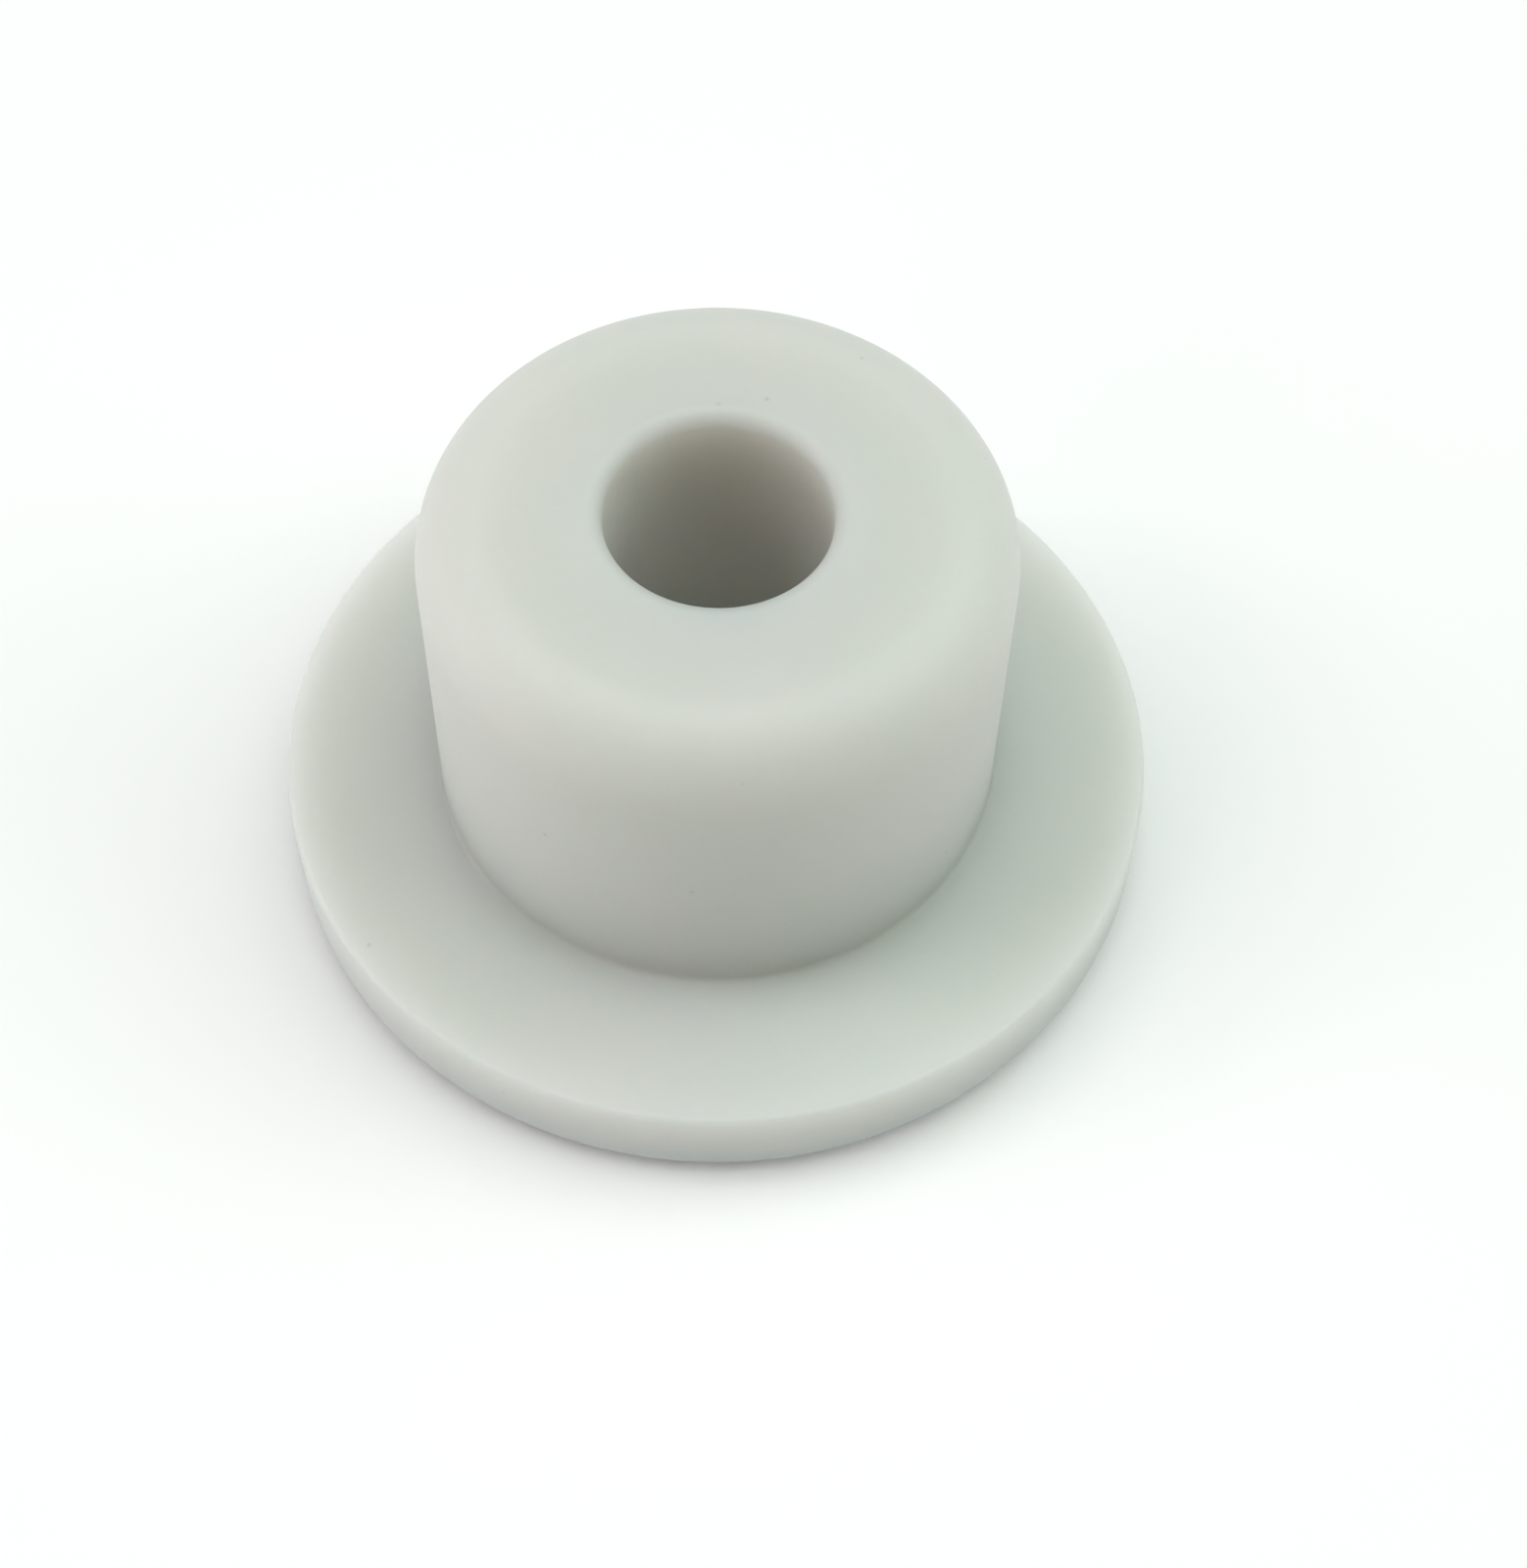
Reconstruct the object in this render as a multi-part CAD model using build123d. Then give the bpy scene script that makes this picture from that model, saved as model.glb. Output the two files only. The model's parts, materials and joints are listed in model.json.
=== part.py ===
from build123d import *
import os

# A T-shaped silicone hole plug, moulded in one piece and standing on its flange.
# Sizes are in millimetres. The origin is the centre of the flange's underside, +Z up the boss.

# Flange: the broad disc that stays outside the plugged hole.
flange_diameter = 31.0
flange_thickness = 3.7
flange_top_edge_round = 0.2
flange_bottom_edge_round = 1.0

# Boss: the stub that is pressed into the plugged hole, with a large lead-in round at its tip.
boss_diameter = 20.0
boss_height = 13.4
boss_root_round = 0.2
boss_tip_round = 2.4

# Blind hole: runs down the boss from its tip and lets the boss squeeze inwards.
hole_diameter = 7.6
hole_depth = 13.4
hole_mouth_round = 0.6
hole_floor_round = 0.8

# Radii and levels that follow from the sizes above.
flange_radius = flange_diameter / 2
boss_radius = boss_diameter / 2
hole_radius = hole_diameter / 2
tip_level = flange_thickness + boss_height
hole_floor_level = tip_level - hole_depth


def half_section():
    """The plug's section on one side of its axis, x across and y up, with every edge rounded."""
    # Each corner, from the axis round the outside and back down the hole, with its round.
    corners = [
        ((0, 0), None),
        ((flange_radius, 0), flange_bottom_edge_round),
        ((flange_radius, flange_thickness), flange_top_edge_round),
        ((boss_radius, flange_thickness), boss_root_round),
        ((boss_radius, tip_level), boss_tip_round),
        ((hole_radius, tip_level), hole_mouth_round),
        ((hole_radius, hole_floor_level), hole_floor_round),
        ((0, hole_floor_level), None),
    ]
    with BuildSketch() as section:
        with BuildLine():
            Polyline(*[point for point, radius in corners], close=True)
        make_face()
        for point, radius in corners:
            if radius is not None:
                corner = section.vertices().sort_by_distance(point)[0]
                fillet(corner, radius=radius)
    return section.sketch


def make_plug():
    """The whole plug: its half section turned about the vertical axis."""
    return revolve(Plane.XZ * half_section(), axis=Axis.Z)


plug = make_plug()
os.makedirs("parts", exist_ok=True)
export_step(plug, "parts/plug_body.step")
print(f"plug_body: {plug.volume:.1f} cubic mm, {tip_level:.1f} mm tall")
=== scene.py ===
"""Looks of the moulded silicone hole plug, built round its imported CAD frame."""

import json
import math

import bmesh
import bpy
from mathutils import Matrix, Vector


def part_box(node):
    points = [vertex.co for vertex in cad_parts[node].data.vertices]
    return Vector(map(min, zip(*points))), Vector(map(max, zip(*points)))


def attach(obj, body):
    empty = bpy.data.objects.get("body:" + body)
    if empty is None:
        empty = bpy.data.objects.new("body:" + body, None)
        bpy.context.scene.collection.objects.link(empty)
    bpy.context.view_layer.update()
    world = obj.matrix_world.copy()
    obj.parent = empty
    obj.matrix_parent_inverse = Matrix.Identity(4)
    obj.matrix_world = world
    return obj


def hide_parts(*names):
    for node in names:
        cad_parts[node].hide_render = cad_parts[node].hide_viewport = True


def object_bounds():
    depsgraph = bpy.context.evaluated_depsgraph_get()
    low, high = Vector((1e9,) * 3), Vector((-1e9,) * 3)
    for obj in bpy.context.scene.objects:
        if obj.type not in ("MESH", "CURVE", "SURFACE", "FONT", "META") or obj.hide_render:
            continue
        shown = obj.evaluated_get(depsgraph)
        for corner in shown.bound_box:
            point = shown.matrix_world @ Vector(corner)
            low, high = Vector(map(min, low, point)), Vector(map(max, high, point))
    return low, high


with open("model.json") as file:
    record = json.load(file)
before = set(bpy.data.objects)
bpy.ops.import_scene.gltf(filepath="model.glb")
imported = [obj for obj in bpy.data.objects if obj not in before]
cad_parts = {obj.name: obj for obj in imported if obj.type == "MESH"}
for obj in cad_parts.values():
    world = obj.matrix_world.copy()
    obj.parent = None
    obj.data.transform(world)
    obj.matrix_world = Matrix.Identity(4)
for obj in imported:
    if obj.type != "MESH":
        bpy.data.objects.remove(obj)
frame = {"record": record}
cad_low, cad_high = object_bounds()

MM = 0.001
NODE = "plug_body"
BODY = "root"

# Rounds of the moulded section, in metres. The larger sizes come from the frame.
FLANGE_TOP_ROUND = 0.2 * MM
FLANGE_BOTTOM_ROUND = 1.0 * MM
HOLE_FLOOR_ROUND = 0.8 * MM

# How finely the section is turned: segments about the axis, the longest step along the section, the steps
# that a full turn of a round would have and the fewest that one has, and the radius that counts as none.
TURN_SEGMENTS = 240
SECTION_STEP = 0.3 * MM
ARC_STEPS_PER_TURN = 96
FEWEST_ARC_STEPS = 4
ON_AXIS = 1e-9

# Silicone: its index of refraction, how much of the light creeps through it and how far in each colour, and
# the slow clouds in its tint: their size and detail, and the two tints with their places on the pattern.
SILICONE_IOR = 1.41
SILICONE_GLOW_WEIGHT = 0.8
SILICONE_GLOW_SCALE = 8.0 * MM
SILICONE_GLOW_RADIUS = (1.15, 0.94, 0.84)
CLOUD_SIZE = 7.0 * MM
CLOUD_DETAIL = 2.0
CLOUD_TINTS = [(0.35, (0.590, 0.592, 0.566, 1)), (0.65, (0.570, 0.588, 0.554, 1))]

# Dust: the size of the cells that may hold a speck, the share of them that do, how far a speck's edge and
# its darkest core reach from the cell's point, as shares of that size, and its colour.
DUST_CELL = 0.8 * MM
DUST_SHARE = 0.015
DUST_EDGE = 0.16
DUST_CORE = 0.04
DUST_TINT = (0.48, 0.49, 0.45, 1)

# The mould's fine skin: its grain, the roughness that it runs between, and how deep its relief is.
SKIN_GRAIN = 0.25 * MM
SKIN_DETAIL = 3.0
SKIN_ROUGHNESS = (0.42, 0.54)
SKIN_RELIEF = 0.02 * MM
SKIN_RELIEF_STRENGTH = 0.5

# The white sheet: its size, its surface, and its glow, which fades out from one distance from the plug's axis
# to another.
SHEET_SIZE = 4.0
SHEET_TINT = (0.915, 0.90, 0.905, 1)
SHEET_ROUGHNESS = 0.9
SHEET_GLOW_SCALE = 2.5 * MM
SHEET_GLOW_RADIUS = (1.0, 1.0, 1.0)
SHEET_GLOW_FULL = 17 * MM
SHEET_GLOW_END = 22 * MM

# The pale surround, seen beyond the sheet.
SURROUND_TINT = (0.97, 0.97, 0.97, 1)

# The soft lamps: name, azimuth and elevation of the side they shine from (degrees, azimuth 0 on +X and
# 90 on +Y), how wide each one spreads (degrees), its strength and its colour.
LAMPS = [
    ("low_left", 180, 8, 40, 1.173, (1.00, 0.99, 0.99)),
    ("front_left", 225, 30, 34, 0.265, (1.00, 0.85, 0.85)),
    ("high_left", 180, 52, 30, 0.795, (1.00, 0.99, 1.00)),
    ("overhead", 0, 90, 24, 0.623, (0.92, 1.00, 0.94)),
    ("back_right", 45, 52, 30, 0.477, (0.86, 1.00, 0.94)),
    ("right", 0, 40, 50, 1.214, (0.94, 1.00, 0.96)),
    ("back_left", 120, 65, 45, 0.422, (0.93, 1.00, 0.99)),
    ("front_right", 300, 65, 45, 0.507, (0.92, 1.00, 0.93)),
]

# The camera: where it stands, where it looks on the floor plane, its roll, lens and sensor, and how near and
# how far it sees.
CAMERA_PLACE = Vector((0.0, -58.388, 89.701)) * MM
CAMERA_TARGET = Vector((1.7357, 0.4803, 0.0)) * MM
CAMERA_ROLL = math.radians(1.673)
CAMERA_LENS_MM = 65.72
CAMERA_SENSOR_MM = 36.0
CAMERA_NEAREST = 1 * MM
CAMERA_FARTHEST = 10.0


def mount(name):
    """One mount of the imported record, by its name."""
    return next(m for m in frame["record"]["mounts"] if m["name"] == name)


def wall_span(name):
    """(radius, lowest level, highest level) of the straight wall that a round mount states."""
    stated = mount(name)
    half = stated["dims"]["length_mm"] * MM / 2
    level = stated["pos_m"][2]
    return stated["dims"]["r_mm"] * MM, level - half, level + half


def section_corners():
    """The half section's corners as (radius from the axis, level, round), from the underside up and round."""
    low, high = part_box(NODE)
    flange_radius, tip = high.x, high.z
    boss_radius, boss_low, boss_high = wall_span("boss")
    hole_radius, hole_low, hole_high = wall_span("blind_hole")
    seat = mount("flange_seat")["pos_m"][2]
    floor = hole_low - HOLE_FLOOR_ROUND
    return [
        (0.0, low.z, 0.0),
        (flange_radius, low.z, FLANGE_BOTTOM_ROUND),
        (flange_radius, seat, FLANGE_TOP_ROUND),
        (boss_radius, seat, boss_low - seat),
        (boss_radius, tip, tip - boss_high),
        (hole_radius, tip, tip - hole_high),
        (hole_radius, floor, HOLE_FLOOR_ROUND),
        (0.0, floor, 0.0),
    ]


def rounded_line(corners):
    """Points along a line through the corners, with a tangent arc at each corner that has a round."""
    points = []
    for i, (r, z, radius) in enumerate(corners):
        here = Vector((r, z))
        if radius == 0.0:
            points.append(here)
            continue
        to_last = (Vector(corners[i - 1][:2]) - here).normalized()
        to_next = (Vector(corners[i + 1][:2]) - here).normalized()
        half = to_last.angle(to_next) / 2
        reach = radius / math.tan(half)
        centre = here + (to_last + to_next).normalized() * (radius / math.sin(half))
        start = here + to_last * reach - centre
        turn = start.angle_signed(here + to_next * reach - centre)
        steps = max(FEWEST_ARC_STEPS, round(abs(turn) / (2 * math.pi) * ARC_STEPS_PER_TURN))
        for step in range(steps + 1):
            points.append(centre + Matrix.Rotation(-turn * step / steps, 2) @ start)
    return points


def evenly_filled(points, longest):
    """The same line with more points on each run that is longer than the longest step."""
    filled = [points[0]]
    for last, here in zip(points, points[1:]):
        count = max(1, math.ceil((here - last).length / longest))
        filled += [last.lerp(here, (k + 1) / count) for k in range(count)]
    return filled


def turned_mesh(name, line, segments):
    """A closed mesh made by turning a line, which starts and ends on the axis, about the Z axis."""
    bm = bmesh.new()
    rings = []
    for point in line:
        if point.x < ON_AXIS:
            rings.append([bm.verts.new((0.0, 0.0, point.y))])
            continue
        ring = []
        for k in range(segments):
            angle = 2 * math.pi * k / segments
            ring.append(bm.verts.new((point.x * math.cos(angle), point.x * math.sin(angle), point.y)))
        rings.append(ring)
    for ring, after in zip(rings, rings[1:]):
        for k in range(segments):
            a, b = ring[k % len(ring)], ring[(k + 1) % len(ring)]
            c, d = after[(k + 1) % len(after)], after[k % len(after)]
            corners = [v for v, same in ((a, False), (b, b is a), (c, False), (d, d is c)) if not same]
            bm.faces.new(corners)
    bmesh.ops.recalc_face_normals(bm, faces=bm.faces)
    mesh = bpy.data.meshes.new(name)
    bm.to_mesh(mesh)
    bm.free()
    mesh.shade_smooth()
    return mesh


def new_material(name):
    """A new material with nodes, and the nodes, links and main shader of its tree."""
    material = bpy.data.materials.new(name)
    material.use_nodes = True
    tree = material.node_tree
    return material, tree.nodes, tree.links, tree.nodes["Principled BSDF"]


def set_inputs(node, values):
    """Set the inputs of a node that the values name."""
    for name, value in values.items():
        node.inputs[name].default_value = value


def clouded_colour(nodes, links, place):
    """The silicone's own colour, with slow clouds in it."""
    clouds = nodes.new("ShaderNodeTexNoise")
    set_inputs(clouds, {"Scale": 1 / CLOUD_SIZE, "Detail": CLOUD_DETAIL})
    links.new(place, clouds.inputs["Vector"])
    tint = nodes.new("ShaderNodeValToRGB")
    for stop, (position, colour) in zip(tint.color_ramp.elements, CLOUD_TINTS):
        stop.position = position
        stop.color = colour
    links.new(clouds.outputs["Fac"], tint.inputs["Fac"])
    return tint.outputs["Color"]


def dusted_colour(nodes, links, place, clean):
    """A colour with a few specks of dust on it: the cores of a few of the cells of a fine cell pattern."""
    cells = nodes.new("ShaderNodeTexVoronoi")
    set_inputs(cells, {"Scale": 1 / DUST_CELL})
    links.new(place, cells.inputs["Vector"])
    core = nodes.new("ShaderNodeMapRange")
    set_inputs(core, {"From Min": DUST_EDGE, "From Max": DUST_CORE})
    links.new(cells.outputs["Distance"], core.inputs["Value"])
    chance = nodes.new("ShaderNodeSeparateColor")
    links.new(cells.outputs["Color"], chance.inputs["Color"])
    chosen = nodes.new("ShaderNodeMath")
    chosen.operation = "GREATER_THAN"
    chosen.inputs[1].default_value = 1 - DUST_SHARE
    links.new(chance.outputs["Red"], chosen.inputs[0])
    speck = nodes.new("ShaderNodeMath")
    speck.operation = "MULTIPLY"
    links.new(core.outputs["Result"], speck.inputs[0])
    links.new(chosen.outputs["Value"], speck.inputs[1])
    dusty = nodes.new("ShaderNodeMix")
    dusty.data_type = "RGBA"
    set_inputs(dusty, {"B": DUST_TINT})
    links.new(speck.outputs["Value"], dusty.inputs["Factor"])
    links.new(clean, dusty.inputs["A"])
    return dusty.outputs["Result"]


def add_skin(nodes, links, place, shader):
    """The fine skin that the mould leaves, in the gloss and in the relief."""
    skin = nodes.new("ShaderNodeTexNoise")
    set_inputs(skin, {"Scale": 1 / SKIN_GRAIN, "Detail": SKIN_DETAIL})
    links.new(place, skin.inputs["Vector"])
    gloss = nodes.new("ShaderNodeMapRange")
    set_inputs(gloss, {"To Min": SKIN_ROUGHNESS[0], "To Max": SKIN_ROUGHNESS[1]})
    links.new(skin.outputs["Fac"], gloss.inputs["Value"])
    links.new(gloss.outputs["Result"], shader.inputs["Roughness"])
    relief = nodes.new("ShaderNodeBump")
    set_inputs(relief, {"Strength": SKIN_RELIEF_STRENGTH, "Distance": SKIN_RELIEF})
    links.new(skin.outputs["Fac"], relief.inputs["Height"])
    links.new(relief.outputs["Normal"], shader.inputs["Normal"])


def silicone_material():
    """Milky, light grey, matt silicone: cloudy by a hair, with a fine skin and a few specks of dust."""
    material, nodes, links, shader = new_material("silicone")
    set_inputs(shader, {
        "IOR": SILICONE_IOR,
        "Subsurface Weight": SILICONE_GLOW_WEIGHT,
        "Subsurface Radius": SILICONE_GLOW_RADIUS,
        "Subsurface Scale": SILICONE_GLOW_SCALE,
    })
    place = nodes.new("ShaderNodeTexCoord").outputs["Object"]
    colour = dusted_colour(nodes, links, place, clouded_colour(nodes, links, place))
    links.new(colour, shader.inputs["Base Color"])
    add_skin(nodes, links, place, shader)
    return material


def sheet_material():
    """A matt white sheet, which light creeps a little way through round the plug, where it shows."""
    material, nodes, links, shader = new_material("white_floor")
    set_inputs(shader, {
        "Base Color": SHEET_TINT,
        "Roughness": SHEET_ROUGHNESS,
        "Specular IOR Level": 0.0,
        "Subsurface Radius": SHEET_GLOW_RADIUS,
        "Subsurface Scale": SHEET_GLOW_SCALE,
    })
    place = nodes.new("ShaderNodeTexCoord").outputs["Object"]
    distance = nodes.new("ShaderNodeVectorMath")
    distance.operation = "LENGTH"
    links.new(place, distance.inputs[0])
    near = nodes.new("ShaderNodeMapRange")
    set_inputs(near, {"From Min": SHEET_GLOW_FULL, "From Max": SHEET_GLOW_END, "To Min": 1.0, "To Max": 0.0})
    links.new(distance.outputs["Value"], near.inputs["Value"])
    links.new(near.outputs["Result"], shader.inputs["Subsurface Weight"])
    return material


def build_plug():
    """The plug itself, in place of its CAD node."""
    line = evenly_filled(rounded_line(section_corners()), SECTION_STEP)
    plug = bpy.data.objects.new("silicone_plug", turned_mesh("silicone_plug", line, TURN_SEGMENTS))
    bpy.context.scene.collection.objects.link(plug)
    plug.data.materials.append(silicone_material())
    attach(plug, BODY)
    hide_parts(NODE)


def build_floor():
    """A plain white sheet under the plug."""
    bpy.ops.mesh.primitive_plane_add(size=SHEET_SIZE, location=(0, 0, cad_low.z))
    floor = bpy.context.object
    floor.name = "floor"
    floor.data.materials.append(sheet_material())


def build_lamps():
    """Broad soft light that arches over the plug from the left to the right."""
    for name, azimuth, elevation, spread, strength, colour in LAMPS:
        lamp = bpy.data.objects.new(name, bpy.data.lights.new(name, "SUN"))
        bpy.context.scene.collection.objects.link(lamp)
        lamp.data.energy = strength
        lamp.data.color = colour
        lamp.data.angle = math.radians(spread)
        around, up = math.radians(azimuth), math.radians(elevation)
        side = Vector((math.cos(up) * math.cos(around), math.cos(up) * math.sin(around), math.sin(up)))
        lamp.rotation_mode = "QUATERNION"
        lamp.rotation_quaternion = (-side).to_track_quat("-Z", "Y")


def build_surround():
    """A pale surround beyond the sheet, which is seen but sheds no light."""
    world = bpy.data.worlds.new("pale_surround")
    bpy.context.scene.world = world
    world.use_nodes = True
    nodes, links = world.node_tree.nodes, world.node_tree.links
    background = nodes["Background"]
    set_inputs(background, {"Color": SURROUND_TINT})
    path = nodes.new("ShaderNodeLightPath")
    links.new(path.outputs["Is Camera Ray"], background.inputs["Strength"])


def build_camera():
    """The camera at the photograph's viewing angle."""
    camera = bpy.data.objects.new("camera", bpy.data.cameras.new("camera"))
    bpy.context.scene.collection.objects.link(camera)
    camera.data.sensor_width = CAMERA_SENSOR_MM
    camera.data.lens = CAMERA_LENS_MM
    camera.data.clip_start = CAMERA_NEAREST
    camera.data.clip_end = CAMERA_FARTHEST
    camera.location = CAMERA_PLACE
    look = (CAMERA_TARGET - CAMERA_PLACE).to_track_quat("-Z", "Y")
    camera.rotation_mode = "QUATERNION"
    camera.rotation_quaternion = look @ Matrix.Rotation(CAMERA_ROLL, 3, "Z").to_quaternion()
    bpy.context.scene.camera = camera


build_plug()
build_floor()
build_lamps()
build_surround()
build_camera()
bpy.context.scene.view_settings.view_transform = "Standard"
